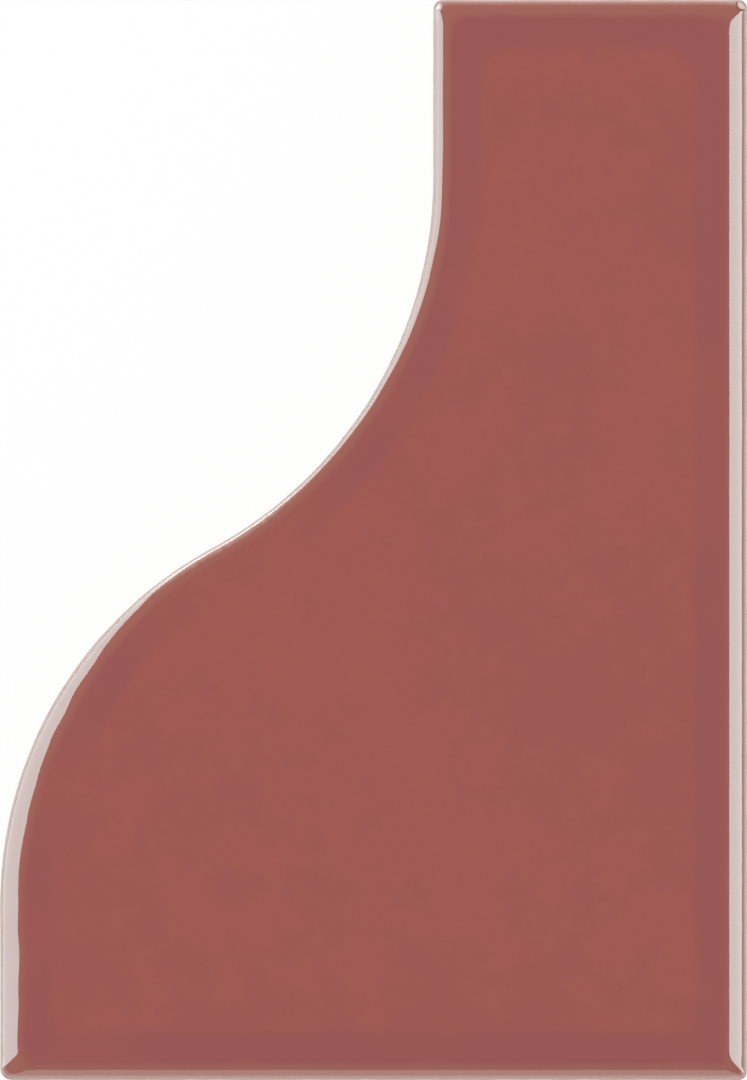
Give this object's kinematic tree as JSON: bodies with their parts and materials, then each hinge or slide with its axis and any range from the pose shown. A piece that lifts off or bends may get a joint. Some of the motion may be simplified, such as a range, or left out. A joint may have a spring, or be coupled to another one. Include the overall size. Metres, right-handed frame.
{
  "type": "fan-shaped wall tile",
  "caption": "Glazed half-fan wall tile: wide foot, narrow neck, one straight side and one S-shaped side that nests with its neighbour.",
  "frame": {"origin": "centre of the bounding box on the back plane", "axes": "+Z out of the glazed face, +Y from the wide foot to the narrow neck, +X to the long straight side"},
  "size_m": [0.083, 0.12, 0.0083],
  "materials": {
    "glaze": "glossy terracotta-pink glaze over a pale pressed body"
  },
  "bodies": {
    "root": {"fan_tile": "glaze"}
  },
  "joints": []
}
